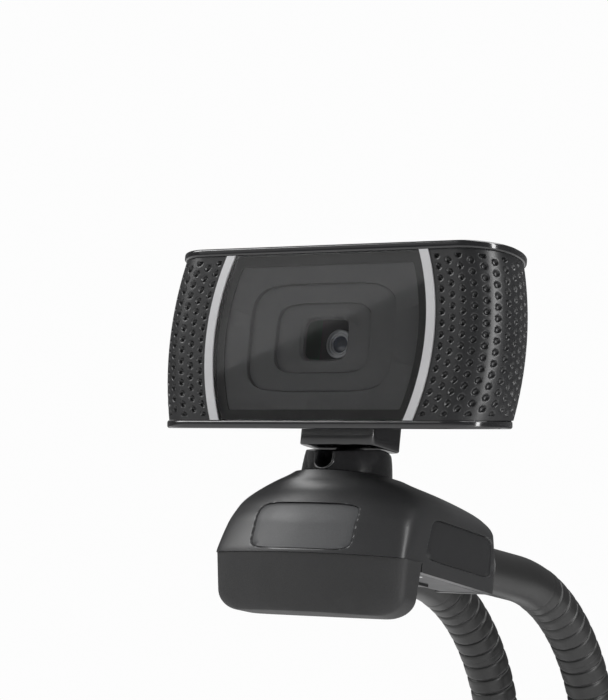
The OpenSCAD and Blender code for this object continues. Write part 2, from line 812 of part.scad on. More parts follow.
// Smooth collar: straight in its arm and beyond, then along the start of the arc.
module leg_collar(side) {
    in_leg(side) difference() {
        union() {
            rod_y(leg_r, leg_start + 1 - leg_y, leg_y - leg_start - 1);
            rod_y(leg_r + flange_lip, leg_start - leg_y, flange_l);
            arc_rod(leg_r - step, -2, collar_bend);
        }
        on_arc(collar_bend) sphere(r = ball_r + cup_gap, $fn = 96);
        rod_y(wire_r + wire_gap, -leg_straight - 10, leg_straight + 10);
        arc_rod(wire_r + wire_gap - step, -2, collar_bend - degrees_of(ball_r - 1));
    }
}

// One ribbed section: ball, short neck, ribbed tube, and the cup for the next ball.
module leg_section(side, k) {
    a0 = collar_bend + (k - 1) * section_bend;
    a1 = a0 + section_bend;
    wire_end = k < section_n ? a1 - degrees_of(ball_r - 1) : a1 + 0.5;
    rib_pitch = (section_l - neck_l) / rib_n;
    in_leg(side) difference() {
        union() {
            on_arc(a0) sphere(r = ball_r, $fn = 96);
            arc_rod(neck_r, a0, a0 + degrees_of(neck_l + 0.5));
            arc_rod(core_r, a0 + degrees_of(neck_l), a1);
            for (i = [0 : rib_n - 1])
                on_arc(a0 + degrees_of(neck_l + (i + 1) * rib_pitch))
                    rotate([90, 0, 0]) cylinder(r1 = rib_r, r2 = core_r, h = rib_pitch - 0.5);
        }
        if (k < section_n) on_arc(a1) sphere(r = ball_r + cup_gap, $fn = 96);
        arc_rod(wire_r + wire_gap, a0 + degrees_of(1.2), wire_end);
    }
}

// Steel wire inside section k, cut between the bending points; k of 0 is the collar's.
module leg_wire(side, k) {
    a0 = collar_bend + (k - 1) * section_bend;
    short = k < section_n ? ball_r + 0.4 : 0.1;
    in_leg(side) {
        if (k == 0) {
            rod_y(wire_r, -leg_straight - 9.9, leg_straight + 9.9);
            arc_rod(wire_r - step, -2, collar_bend - degrees_of(ball_r + 0.4));
        } else {
            arc_rod(wire_r, a0 + degrees_of(1.3), a0 + section_bend - degrees_of(short));
        }
    }
}

// Rounded rubber foot on the end of the last section.
module leg_foot(side) {
    a1 = collar_bend + section_n * section_bend;
    in_leg(side) on_arc(a1) translate([0, 0.05, 0]) {
        foot_r = rib_r + 0.2;
        rod_y(foot_r, 0, foot_l - foot_r);
        intersection() {
            translate([0, foot_l - foot_r, 0]) sphere(r = foot_r, $fn = 96);
            rod_y(foot_r + 1, 0, 20);
        }
    }
}

front_window();
window_border();
stepped_bezel();
left_silver_arc();
right_silver_arc();
left_side_panel();
right_side_panel();
top_cap();
bottom_cap();
rear_shell();
inner_chassis();
lens_barrel();
lens_front_element();
lens_rear_element();
infrared_filter();
lens_holder();
image_sensor();
circuit_board();
board_screws();
shell_screws();
microphone();
snapshot_switch();
snapshot_button();
button_spring();
cable_connector();
cable_grommet();
head_bracket();
bracket_screws();
tilt_pin();
turret();
swivel_washer();
swivel_screw();
hood();
label_plate();
left_arm_panel();
right_arm_panel();
front_lip();
lip_pad();
base_plate();
seat_pad();
base_screws();
color("#101011") leg_collar(-1);  // left_leg_collar
color("#101011") leg_section(-1, 1);  // left_leg_section_1
color("#101011") leg_section(-1, 2);  // left_leg_section_2
color("#101011") leg_section(-1, 3);  // left_leg_section_3
color("#0c0c0c") leg_foot(-1);  // left_leg_foot
color("silver") leg_wire(-1, 0);  // left_leg_root_wire
color("silver") leg_wire(-1, 1);  // left_leg_wire_1
color("silver") leg_wire(-1, 2);  // left_leg_wire_2
color("silver") leg_wire(-1, 3);  // left_leg_wire_3
color("#101011") leg_collar(1);  // right_leg_collar
color("#101011") leg_section(1, 1);  // right_leg_section_1
color("#101011") leg_section(1, 2);  // right_leg_section_2
color("#101011") leg_section(1, 3);  // right_leg_section_3
color("#0c0c0c") leg_foot(1);  // right_leg_foot
color("silver") leg_wire(1, 0);  // right_leg_root_wire
color("silver") leg_wire(1, 1);  // right_leg_wire_1
color("silver") leg_wire(1, 2);  // right_leg_wire_2
color("silver") leg_wire(1, 3);  // right_leg_wire_3
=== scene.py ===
# %% [markdown]
# # A webcam on a clip tripod
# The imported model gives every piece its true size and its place. This lesson loads that frame and
# builds the looks round it: smooth moulded skins, dimpled side panels, ribbed rubber legs, materials,
# light and a camera. A frame could be rebuilt by hand, but loading it keeps each piece where it moves.

import json
import math

import bpy
import numpy as np
from mathutils import Matrix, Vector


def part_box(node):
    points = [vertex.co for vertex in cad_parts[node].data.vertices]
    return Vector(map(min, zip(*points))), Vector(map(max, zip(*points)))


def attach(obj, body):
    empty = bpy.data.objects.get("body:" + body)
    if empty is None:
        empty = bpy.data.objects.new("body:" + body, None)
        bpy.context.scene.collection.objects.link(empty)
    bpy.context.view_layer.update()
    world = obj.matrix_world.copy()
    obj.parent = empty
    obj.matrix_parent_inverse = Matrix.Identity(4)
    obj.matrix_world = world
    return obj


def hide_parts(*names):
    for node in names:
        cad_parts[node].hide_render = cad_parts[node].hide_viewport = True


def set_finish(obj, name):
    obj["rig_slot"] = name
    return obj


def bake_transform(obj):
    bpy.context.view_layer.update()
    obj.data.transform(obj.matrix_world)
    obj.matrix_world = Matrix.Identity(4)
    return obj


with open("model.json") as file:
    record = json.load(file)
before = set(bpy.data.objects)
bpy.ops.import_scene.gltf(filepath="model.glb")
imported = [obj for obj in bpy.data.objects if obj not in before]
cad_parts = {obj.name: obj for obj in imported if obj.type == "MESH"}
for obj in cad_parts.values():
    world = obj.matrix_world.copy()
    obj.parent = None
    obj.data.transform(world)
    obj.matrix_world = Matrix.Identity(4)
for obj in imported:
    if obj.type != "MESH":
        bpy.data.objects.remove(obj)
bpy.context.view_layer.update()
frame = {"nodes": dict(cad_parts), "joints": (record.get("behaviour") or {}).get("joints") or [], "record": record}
MM = 0.001

# %% [markdown]
# ## Driving sizes
# The head is a barrel: its sides bulge round one axis in front of each side. A few lengths, in
# millimetres, drive every skin. The places come from the frame's own boxes wherever a node gives them.


# %% Sizes taken from the frame
def corners(node):
    """Lowest and highest corner of a node's box, in millimetres."""
    low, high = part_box(node)
    return np.array(low) / MM, np.array(high) / MM


window_low, window_high = corners("front_window")
FACE_Y = window_low[1]
HEAD_Z = (window_low[2] + window_high[2]) / 2
HALF_H = (window_high[2] - window_low[2]) / 2 + 0.02
HEAD_D = corners("rear_shell")[1][1] - FACE_Y
CAP_LIP = 0.4
END_W = corners("top_cap")[1][0] - CAP_LIP
HOOD_H = corners("hood")[1][2]
print("head middle", round(HEAD_Z, 2), "half height", round(HALF_H, 2), "depth", round(HEAD_D, 2))

# %% Shape values of the head
HALF_W = 35.0
FRONT_R = 7.0
BACK_R = HEAD_D - FRONT_R
BULGE = 1.85
SIDE_R = (HALF_H**2 + BULGE**2) / (2 * BULGE)
BULGE_X = HALF_W - SIDE_R
ARC_X, ARC_BOW = 23.45, 2.73
ARC_R = (HALF_H**2 + ARC_BOW**2) / (2 * ARC_BOW)
CAP_SLOPE = math.radians(10)
SPLIT_Y = 16.5

# %% [markdown]
# ## Mesh helpers
# Every skin is a grid of points. One helper closes a stack of rings into a solid, as a potter closes a
# pot, and the other closes an outer and an inner sheet into a shell. Both set the points in one call.


# %% Rings and shells
def put_mesh(name, points, faces, body, slot_name, smooth_angle=35):
    """Puts points, in millimetres, and faces into one mesh, shades it, and lets it ride on a body."""
    mesh = bpy.data.meshes.new(name)
    mesh.from_pydata((np.asarray(points) * MM).tolist(), [], [list(f) for f in faces])
    mesh.validate()
    piece = bpy.data.objects.new(name, mesh)
    bpy.context.scene.collection.objects.link(piece)
    mesh.shade_smooth()
    if smooth_angle:
        mesh.set_sharp_from_angle(angle=math.radians(smooth_angle))
    face_outwards(piece)
    if body:
        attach(piece, body)
    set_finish(piece, slot_name)
    return piece


def face_outwards(piece):
    """Turns the mesh if its signed volume, the sum of its faces' cone volumes, is negative."""
    mesh = piece.data
    mesh.calc_loop_triangles()
    places = np.empty(len(mesh.vertices) * 3)
    mesh.vertices.foreach_get("co", places)
    places = places.reshape(-1, 3)
    corner = np.empty(len(mesh.loop_triangles) * 3, int)
    mesh.loop_triangles.foreach_get("vertices", corner)
    a, b, c = (places[corner.reshape(-1, 3)[:, k]] for k in range(3))
    if np.einsum("ij,ij->i", a, np.cross(b, c)).sum() < 0:
        mesh.flip_normals()


def grid_faces(rows, columns, wrap_rows=False, wrap_columns=True):
    """Quads between neighbours of a grid, joined round where it wraps."""
    i = np.arange(rows if wrap_rows else rows - 1)[:, None]
    j = np.arange(columns if wrap_columns else columns - 1)[None, :]
    i2, j2 = (i + 1) % rows, (j + 1) % columns
    quads = [i * columns + j, i * columns + j2, i2 * columns + j2, i2 * columns + j]
    return np.stack(np.broadcast_arrays(*quads), -1).reshape(-1, 4)


def rings_solid(name, rings, body, slot_name, closed=False, **keys):
    """A stack of rings, shape (rings, points, 3). Its two ends are closed with fans, or joined."""
    rings = np.asarray(rings)
    rows, columns = rings.shape[:2]
    points = rings.reshape(-1, 3)
    faces = grid_faces(rows, columns, wrap_rows=closed).tolist()
    if not closed:
        points = np.vstack([points, rings[0].mean(0), rings[-1].mean(0)])
        j = np.arange(columns)
        k = (j + 1) % columns
        first = np.stack([k, j, np.full(columns, rows * columns)], 1)
        end_row = (rows - 1) * columns
        last = np.stack([end_row + j, end_row + k, np.full(columns, rows * columns + 1)], 1)
        faces += first.tolist() + last.tolist()
    return put_mesh(name, points, faces, body, slot_name, **keys)


def shell_solid(name, outer, inner, body, slot_name, **keys):
    """Two sheets of the same grid, joined along their borders."""
    rows, columns = outer.shape[:2]
    count = rows * columns
    points = np.vstack([outer.reshape(-1, 3), inner.reshape(-1, 3)])
    sheet = grid_faces(rows, columns, wrap_columns=False)
    i, j = np.arange(rows), np.arange(columns)
    sides = [j[:-1], i[:-1] * columns + columns - 1, (rows - 1) * columns + j[:0:-1], i[:0:-1] * columns]
    border = np.concatenate(sides)
    ahead = np.roll(border, -1)
    rim = np.stack([ahead, border, border + count, ahead + count], 1)
    faces = np.vstack([sheet, sheet[:, ::-1] + count, rim]).tolist()
    return put_mesh(name, points, faces, body, slot_name, **keys)


def mirrored(grid):
    """The same grid on the other side of the middle."""
    return grid * np.array([-1.0, 1.0, 1.0])


# %% [markdown]
# ## Finishes
# Each finish is one shader. Fine noise in object space gives it grain and a little change of tint, a
# wider noise changes its roughness, as handling and moulding do. Image textures could do it too, but
# noise has no seams and holds up close.


# %% A moulded finish
def finish(name, colour, rough, grain=4000.0, bump=0.02, tint=0.12, **settings):
    """Principled shader: colour varied by tint, roughness varied by a wide noise, bump from a fine one."""
    material = bpy.data.materials.new(name)
    material.use_nodes = True
    nodes, links = material.node_tree.nodes, material.node_tree.links
    shader = nodes["Principled BSDF"]
    for socket, value in settings.items():
        shader.inputs[socket.replace("_", " ")].default_value = value
    place = nodes.new("ShaderNodeTexCoord")
    fine, wide = nodes.new("ShaderNodeTexNoise"), nodes.new("ShaderNodeTexNoise")
    fine.inputs["Scale"].default_value = grain
    fine.inputs["Detail"].default_value = 4
    wide.inputs["Scale"].default_value = 180
    wide.inputs["Detail"].default_value = 6
    for noise in (fine, wide):
        links.new(place.outputs["Object"], noise.inputs["Vector"])
    levels = nodes.new("ShaderNodeMapRange")
    levels.inputs["To Min"].default_value = max(0.02, rough * 0.8)
    levels.inputs["To Max"].default_value = min(1, rough * 1.2)
    links.new(wide.outputs["Fac"], levels.inputs["Value"])
    links.new(levels.outputs["Result"], shader.inputs["Roughness"])
    ramp = nodes.new("ShaderNodeValToRGB")
    ramp.color_ramp.elements[0].position, ramp.color_ramp.elements[1].position = 0.3, 0.7
    for element, share in zip(ramp.color_ramp.elements, (1 - tint, 1 + tint)):
        element.color = (*(min(1, c * share) for c in colour), 1)
    links.new(fine.outputs["Fac"], ramp.inputs["Fac"])
    links.new(ramp.outputs["Color"], shader.inputs["Base Color"])
    relief = nodes.new("ShaderNodeBump")
    relief.inputs["Strength"].default_value = 1.0
    relief.inputs["Distance"].default_value = bump * MM
    links.new(fine.outputs["Fac"], relief.inputs["Height"])
    links.new(relief.outputs["Normal"], shader.inputs["Normal"])
    return material


# %% The set of finishes, by the record's slots
FINISHES = {
    "gloss_black": finish("gloss_black", (0.012, 0.012, 0.013), 0.16, bump=0.002, Coat_Weight=0.3),
    "satin_black": finish("satin_black", (0.014, 0.0142, 0.015), 0.36, grain=6000, bump=0.006),
    "charcoal": finish("charcoal", (0.022, 0.0222, 0.023), 0.38, grain=5000, bump=0.012),
    "lip_soft": finish("lip_soft", (0.013, 0.013, 0.0135), 0.62, grain=3500, bump=0.03),
    "silver": finish("silver", (0.62, 0.62, 0.63), 0.3, bump=0.002, tint=0.02, Metallic=0.6),
    "window": finish(
        "window", (0.8, 0.8, 0.8), 0.03, grain=300, bump=0.0002, tint=0.01, Transmission_Weight=1.0, IOR=1.49
    ),
    "print_black": finish("print_black", (0.004, 0.004, 0.004), 0.5, grain=1500, bump=0.0002),
    "bezel": finish("bezel", (0.085, 0.086, 0.088), 0.45, grain=7000, bump=0.004, tint=0.06),
    "label": finish("label", (0.05, 0.051, 0.053), 0.5, grain=5000, bump=0.015),
    "rubber": finish("rubber", (0.012, 0.012, 0.012), 0.42, grain=3000, bump=0.012),
    "steel": finish("steel", (0.62, 0.62, 0.63), 0.3, bump=0.006, tint=0.05, Metallic=1.0),
    "lens_metal": finish("lens_metal", (0.55, 0.56, 0.58), 0.3, bump=0.004, tint=0.05, Metallic=0.9),
    "lens_glass": finish("lens_glass", (0.06, 0.07, 0.1), 0.04, bump=0.0005, tint=0.05, Coat_Weight=1.0),
    "filter_glass": finish("filter_glass", (0.3, 0.08, 0.1), 0.05, bump=0.0005, tint=0.05, Coat_Weight=1.0),
    "board": finish("board", (0.02, 0.11, 0.05), 0.4, bump=0.01),
    "chip": finish("chip", (0.03, 0.035, 0.045), 0.2, bump=0.002),
    "ivory": finish("ivory", (0.7, 0.67, 0.58), 0.5, bump=0.01, tint=0.04),
    "frame_grey": finish("frame_grey", (0.06, 0.06, 0.062), 0.6, bump=0.02),
}
slot_of = {part["node"]: part["material_slot"] for part in frame["record"]["subparts"]}
for node, piece in frame["nodes"].items():
    piece.data.materials.clear()
    piece.data.materials.append(FINISHES[slot_of[node]])
print("finishes:", len(FINISHES))


# %% Give a new piece its finish
def dress(piece, *replaced):
    """The slot's finish, and the frame's nodes that the piece stands for."""
    piece.data.materials.append(FINISHES[piece["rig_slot"]])
    if replaced:
        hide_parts(*replaced)
    print(piece.name, len(piece.data.polygons), "faces")
    return piece


# %% [markdown]
# ## Dimpled side panels
# The panels wrap from the silver arcs round the head's sides, with staggered rows of blind dimples.
# Cutting hundreds of holes with booleans is slow, so the sheet itself dips: one height function over
# the unrolled panel, subtracted along the surface's normal.


# %% Panel surface
def on_bulge(x, z):
    """x at height z of a point that is at x at mid height: a circle round the bulge's axis."""
    return BULGE_X + np.sqrt((x - BULGE_X) ** 2 - z**2)


def panel_path(start_x, share, split=SPLIT_Y):
    """Plan path: straight along the front, round the front corner, then along the larger back corner."""
    flat = HALF_W - FRONT_R - start_x
    corner = FRONT_R * math.pi / 2
    back = BACK_R * math.asin((split - FRONT_R) / BACK_R)
    s = share * (flat + corner + back)
    turn = np.clip((s - flat) / FRONT_R, 0, math.pi / 2)
    rise = np.clip((s - flat - corner) / BACK_R, 0, None)
    x = np.where(s < flat, start_x + s, HALF_W - FRONT_R + FRONT_R * np.sin(turn))
    x = np.where(s > flat + corner, HALF_W - BACK_R + BACK_R * np.cos(rise), x)
    y = np.where(s > flat + corner, FRONT_R + BACK_R * np.sin(rise), FRONT_R - FRONT_R * np.cos(turn))
    y = np.where(s < flat, 0.0, y)
    return x, y, s


def panel_sheet(rows, columns, depth=0.0, dimple=0.0):
    """Rows follow the height, columns the path. Depth moves the sheet inwards; dimples dip further."""
    up, along = np.meshgrid(np.linspace(0, 1, rows), np.linspace(0, 1, columns), indexing="ij")
    z_guess = HALF_H * (2 * up - 1)
    arc_edge = ARC_X - ARC_R + np.sqrt(ARC_R**2 - z_guess**2) + 0.06
    start = BULGE_X + np.sqrt((arc_edge - BULGE_X) ** 2 + z_guess**2)
    x, y, s = panel_path(start, along)
    bottom = -HALF_H + y * math.tan(CAP_SLOPE)
    z = bottom + up * (HALF_H - bottom)
    points = np.stack([on_bulge(x, z), y + FACE_Y, z + HEAD_Z], -1)
    normal = np.cross(np.gradient(points, axis=1), np.gradient(points, axis=0))
    normal /= np.linalg.norm(normal, axis=-1, keepdims=True)
    dip = depth + dimple * dimples(s, z_guess)
    return points - normal * dip[..., None] if np.ndim(dip) else points - normal * dip


DIMPLE_PITCH, DIMPLE_ROW, DIMPLE_R = 2.05, 1.95, 0.6


def dimples(s, z):
    """1 in the middle of a dimple, 0 outside: the nearest of two interleaved square lattices."""
    hole = np.zeros_like(s)
    for shift in (0.0, 0.5):
        ds = (s / (2 * DIMPLE_PITCH) + shift - 0.28) % 1 - 0.5
        dz = (z / DIMPLE_ROW + shift) % 1 - 0.5
        far = np.hypot(ds * 2 * DIMPLE_PITCH, dz * DIMPLE_ROW) / DIMPLE_R
        hole = np.maximum(hole, np.clip(1 - far**4, 0, 1))
    return hole * (np.abs(z) < HALF_H - 0.9) * (s > 0.7)


# %% Both panels
PANEL_WALL, PANEL_GRID, DIMPLE_DIP = 1.2, 190, 0.55
for side, turn in (("right", 1), ("left", -1)):
    outer = panel_sheet(PANEL_GRID, PANEL_GRID, dimple=DIMPLE_DIP)
    inner = panel_sheet(PANEL_GRID, PANEL_GRID, depth=PANEL_WALL)
    if turn < 0:
        outer, inner = mirrored(outer), mirrored(inner)
    panel = shell_solid(f"{side}_dimpled_panel", outer, inner, "head", "satin_black", smooth_angle=50)
    dress(panel, f"{side}_side_panel")

# %% [markdown]
# ## Caps with rounded rims
# The caps are glossy plates whose rims catch a long highlight, so the rim's roundness matters most.
# A bevel would work; here a quarter-round profile is carried round the plan outline instead.


# %% Cap rings
def plan_outline(half, depth, grow, count=240):
    """Head outline in plan: flat front, two front corners and two larger back corners, grown outwards."""
    back = depth - FRONT_R
    corners_at = [(half - FRONT_R, FRONT_R, FRONT_R, -90, 0), (half - back, FRONT_R, back, 0, 90)]
    quarter = [
        np.stack([cx + (r + grow) * np.cos(a), cy + (r + grow) * np.sin(a)], 1)
        for cx, cy, r, a0, a1 in corners_at
        for a in [np.radians(np.linspace(a0, a1, count // 8))]
    ]
    right = np.vstack(quarter)
    return np.vstack([right, (right * [-1, 1])[::-1]])


def cap_rings(depth, lip=CAP_LIP, thick=1.4, round_r=0.42):
    """From the inner face out, round the rim by a quarter circle at each edge, and over the outer face."""
    turn = np.linspace(0, np.pi / 2, 6)
    lower = [(-round_r * (1 - np.sin(a)), round_r * (1 - np.cos(a))) for a in turn]
    upper = [(-round_r * (1 - np.cos(a)), thick - round_r * (1 - np.sin(a))) for a in turn]
    steps = [(-4.0, 0.0)] + lower + upper + [(-0.9, thick), (-4.0, thick)]
    rings = []
    for inset, height in steps:
        outline = plan_outline(END_W, depth, lip + inset)
        rings.append(np.column_stack([outline, np.full(len(outline), height)]))
    return np.array(rings)


# %% Top and bottom caps
def place_top(p):
    """The top cap lies flat on the head's body."""
    return p + [0, FACE_Y, HEAD_Z + HALF_H + 0.02]


def place_bottom(p):
    """The bottom cap hangs upside down and slopes up to the back."""
    x, y, z = p[..., 0], p[..., 1], -p[..., 2]
    c, s = math.cos(CAP_SLOPE), math.sin(CAP_SLOPE)
    turned = np.stack([x, y * c - z * s, y * s + z * c], -1)
    return turned + [0, FACE_Y, HEAD_Z - HALF_H - 0.02]


bottom_rings = place_bottom(cap_rings(HEAD_D / math.cos(CAP_SLOPE)))
dress(rings_solid("bottom_rim", bottom_rings, "head", "gloss_black"), "bottom_cap")


# %% Cut the button's hole in the top cap
def cut(piece, cutter):
    """Takes the cutter's solid away from the piece for good."""
    tool = piece.modifiers.new("cut", "BOOLEAN")
    tool.object, tool.operation, tool.solver = cutter, "DIFFERENCE", "EXACT"
    bpy.context.view_layer.update()
    done = bpy.data.meshes.new_from_object(piece.evaluated_get(bpy.context.evaluated_depsgraph_get()))
    piece.modifiers.clear()
    piece.data = done
    bpy.data.objects.remove(cutter)
    piece.data.set_sharp_from_angle(angle=math.radians(35))
    return piece


def rod(centre, direction, radius, length, count=64):
    """A plain round cutter along a direction, from its centre both ways."""
    axis = np.array(direction, float) / np.linalg.norm(direction)
    side = np.cross(axis, [0.3, 0.5, 0.9])
    side /= np.linalg.norm(side)
    other = np.cross(axis, side)
    a = np.linspace(0, 2 * np.pi, count, endpoint=False)[:, None]
    ring = radius * (np.cos(a) * side + np.sin(a) * other)
    ends = np.array([ring - axis * length / 2, ring + axis * length / 2]) + centre
    return rings_solid("cutter", ends, None, "frame_grey")


def block(low, high):
    """A plain box cutter between two corners."""
    (x0, y0, z0), (x1, y1, z1) = low, high
    square = np.array([[x0, y0], [x1, y0], [x1, y1], [x0, y1]])
    rings = [np.column_stack([square, np.full(4, z)]) for z in (z0, z1)]
    return rings_solid("cutter", rings, None, "frame_grey")


button_low, button_high = corners("snapshot_button")
button_at = (button_low + button_high) / 2
top_skin = rings_solid("top_rim", place_top(cap_rings(HEAD_D)), "head", "gloss_black")
BUTTON_HOLE_R = 3.4
cut(top_skin, rod([button_at[0], button_at[1], HEAD_Z + HALF_H], (0, 0, 1), BUTTON_HOLE_R, 8))
dress(top_skin, "top_cap")

# %% [markdown]
# ## The stepped plate behind the window
# Behind the clear window a satin plate steps down twice to the lens opening. A profile carried along
# barrel outlines gives each step a small rounded edge that draws the thin bright lines.


# %% Plate outlines
def barrel(half, angle, power=5.0):
    """Rounded rectangle with bowed sides, a superellipse, at an angle round its middle."""
    c, s = np.cos(angle), np.sin(angle)
    return (np.abs(c / half[0]) ** power + np.abs(s / half[1]) ** power) ** (-1 / power)


def arc_outline(angle, inset):
    """Distance to the area between the arcs: the nearer of the flat top or bottom and the arc."""
    c, s = np.abs(np.cos(angle)), np.abs(np.sin(angle))
    centre, radius = ARC_R - ARC_X, ARC_R - inset
    arc = -c * centre + np.sqrt((c * centre) ** 2 - centre**2 + radius**2)
    flat = (HALF_H - inset + 1.65 - 0.03) / np.maximum(s, 1e-6)
    return np.minimum(arc, flat)


# %% The plate
STEP_A, STEP_B, APERTURE = (14.9, 9.55), (9.75, 6.2), (4.55, 3.6)
PLATE_Y, PLATE_T, DROP, SOFT = 1.3, 2.6, 0.6, 0.08
angle = np.linspace(0, 2 * np.pi, 360, endpoint=False)
face_edge = arc_outline(angle, 1.95)


def step_edge(half, top):
    """Rounded shoulder from one level down to the next along one outline, with a fine groove at its foot."""
    far = barrel(half, angle)
    foot = top + DROP
    shoulder = [(far + SOFT, top), (far + 0.4 * SOFT, top + 0.1 * SOFT), (far, top + SOFT)]
    return shoulder + [(far - 0.02, foot + 0.2), (far - 0.28, foot + 0.2), (far - 0.3, foot)]


opening = barrel(APERTURE, angle)
level = PLATE_Y + 2 * DROP
profile = [(face_edge, PLATE_Y + PLATE_T), (face_edge, PLATE_Y + 0.1), (face_edge - 0.12, PLATE_Y)]
profile += step_edge(STEP_A, PLATE_Y) + step_edge(STEP_B, PLATE_Y + DROP)
profile += [(opening + 0.5, level), (opening + 0.42, level + 0.04), (opening, level + 0.5)]
profile += [(opening - 0.01, PLATE_Y + PLATE_T)]


def upright_rings(edges):
    """Each edge is a distance round the lens axis and a depth behind the window's face."""
    return np.array([
        np.stack([far * np.cos(angle), np.full_like(far, y) + FACE_Y, far * np.sin(angle) + HEAD_Z], 1)
        for far, y in edges
    ])


plate = rings_solid("stepped_plate", upright_rings(profile), "head", "bezel", closed=True, smooth_angle=40)
dress(plate, "stepped_bezel")

# %% [markdown]
# ## Printed border
# The black print on the back of the window runs beside the arcs and along both caps. On the real part it
# is ink; a thin ring between two outlines gives it an edge that the eye can find behind the glass.

# %% Border
BORDER_OUT, BORDER_IN = arc_outline(angle, 1.8), arc_outline(angle, 3.6)
BORDER_FRONT, BORDER_BACK = 1.03, 1.28
border_edges = [
    (BORDER_OUT, BORDER_BACK), (BORDER_OUT, BORDER_FRONT), (BORDER_IN, BORDER_FRONT), (BORDER_IN, BORDER_BACK)
]
border_rings = upright_rings(border_edges)
border = rings_solid("printed_border", border_rings, "head", "print_black", closed=True, smooth_angle=30)
dress(border, "window_border")

# %% [markdown]
# ## The saddle hood
# The hood is one moulding: bowed front, narrowing arms and a dome under the neck, with sunk areas for
# the label and the side insets. A hull of plates would show facets, so the skin is written as a
# smooth polygon whose walls move with height.

# %% Hood walls by height
WALL_Z = np.array([0.52, 2.1, 8.4, 11.7, 14.2, 16.2, 17.0])
FRONT = np.array([13.8, 13.8, 12.7, 10.8, 9.2, 8.9, 8.6])
HALF_FRONT = np.array([19.8, 19.8, 19.6, 19.1, 17.8, 13.5, 9.3])
BOW = np.array([52.0, 52.0, 39.0, 36.0, 27.0, 17.0, 12.0])
HALF_BACK = np.array([15.5, 15.5, 15.4, 15.2, 12.3, 10.0, 8.6])
BACK = np.array([28.0, 28.0, 28.0, 27.9, 27.0, 14.0, 9.3])
POWER = np.array([30.0, 30.0, 18.0, 13.0, 8.0, 4.0, 3.0])
CENTRE_Y = np.array([7.0, 7.0, 7.0, 7.0, 6.0, 3.0, 0.5])


def wall_sizes(z):
    """Mixed between the wall heights, then averaged over a small window of heights so bands blend."""
    window = np.linspace(-0.9, 0.9, 7)
    walls = (FRONT, HALF_FRONT, HALF_BACK, BACK, BOW, POWER, CENTRE_Y)
    return [sum(np.interp(z + w, WALL_Z, values) for w in window) / 7 for values in walls]


def share(along, distance, power):
    """How much of one wall's distance a direction uses, never below nothing, raised to the power."""
    return np.clip(along / distance, 0, None) ** power


def hood_radius(angle, z, inset=0.0):
    """Smooth polygon: each wall's share of the direction, raised to a power, summed and rooted."""
    front, half_front, half_back, back, bow, power, centre = wall_sizes(z)
    slant = np.arctan2(half_front - half_back, back + front - 4)
    reach = (half_front - (centre + front - 4) * np.tan(slant)) * np.cos(slant) - inset
    total = share(np.sin(angle), back - centre - inset, power)
    for side in (-1, 1):
        along = side * np.cos(slant) * np.cos(angle) + np.sin(slant) * np.sin(angle)
        total = total + share(along, reach, power)
    ahead = bow - front - centre
    to_bow = ahead * np.sin(angle) + np.sqrt(bow**2 - (ahead * np.cos(angle)) ** 2)
    total = total + share(1.0, to_bow - inset, power)
    return total ** (-1 / power), centre


# %% Hood skin and its sunk areas
LABEL_HALF, LABEL_Z = (10.4, 4.1), 6.8
PANEL_HALF, PANEL_AT, PANEL_LEAN = (14.3, 3.6), (11.9, 6.6), 0.32
SINK = 0.7


def leaning(v):
    """Scale of the inset's front half at a height from its middle: its front edge leans back."""
    return 1 - PANEL_LEAN * (v + PANEL_HALF[1]) / PANEL_HALF[0]


def rounded(u, v):
    """Distance from the middle of a rounded rectangle, as a share of the way to its edge."""
    return (np.abs(u) ** 7 + np.abs(v) ** 7) ** (1 / 7)


def sunk(x, y, z):
    """Depth of the label area on the front and the inset areas on the sides: 1 inside, 0 outside."""
    label = rounded(x / LABEL_HALF[0], (z - LABEL_Z) / LABEL_HALF[1])
    u, v = (y - PANEL_AT[0]) / PANEL_HALF[0], z - PANEL_AT[1]
    inset = rounded(np.where(u < 0, u / leaning(v), u), v / PANEL_HALF[1])
    in_label = np.clip((1 - label) / 0.02, 0, 1) * (y < -6)
    return np.maximum(in_label, np.clip((1 - inset) / 0.02, 0, 1) * (np.abs(x) > 11))


def hood_rings(heights, count, inset=0.0, recess=0.0):
    """One ring a height: the polygon's distance in each direction from its middle."""
    z, angle = np.meshgrid(heights, np.linspace(0, 2 * np.pi, count, endpoint=False), indexing="ij")
    far, centre = hood_radius(angle, z, inset)
    x, y = far * np.cos(angle), centre + far * np.sin(angle)
    far = far - recess * sunk(x, y, z)
    return np.stack([far * np.cos(angle), centre + far * np.sin(angle), z], -1)


HOOD_WALL, CREASE_Z, SPIGOT_BORE_R = 1.7, 2.1, 3.55
GAP_X, GAP_Y = 3.9, 17.5
LEG_X, LEG_Z, LEG_BORE_R, ARM_END = 10.7, 5.3, 4.28, 28
heights = np.concatenate([
    np.linspace(0.53, CREASE_Z, 6), np.linspace(2.25, 16.2, 92), np.linspace(16.3, HOOD_H, 5)
])
hood = rings_solid("saddle_hood", hood_rings(heights, 720, recess=SINK), None, "charcoal", smooth_angle=None)
hollow = hood_rings(np.linspace(-2, 15.0, 24), 180, inset=HOOD_WALL)
cut(hood, rings_solid("cutter", hollow, None, "frame_grey"))
cut(hood, block((-GAP_X, GAP_Y, -5), (GAP_X, 40, 40)))
cut(hood, block((-25, -25, -1), (25, -3.2, CREASE_Z)))
cut(hood, rod((0, 0, 14), (0, 0, 1), SPIGOT_BORE_R, 12))
for side in (-1, 1):
    cut(hood, rod((side * LEG_X, ARM_END, LEG_Z), (0, 1, 0), LEG_BORE_R, 30))
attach(hood, "base")
dress(hood, "hood")

# %% [markdown]
# ## Label plate and side insets
# These thin plates lie in the hood's sunk areas. Each follows the hood's own surface, a little below
# it: for every point of a flat outline, the depth comes from halving an interval until it meets the skin.


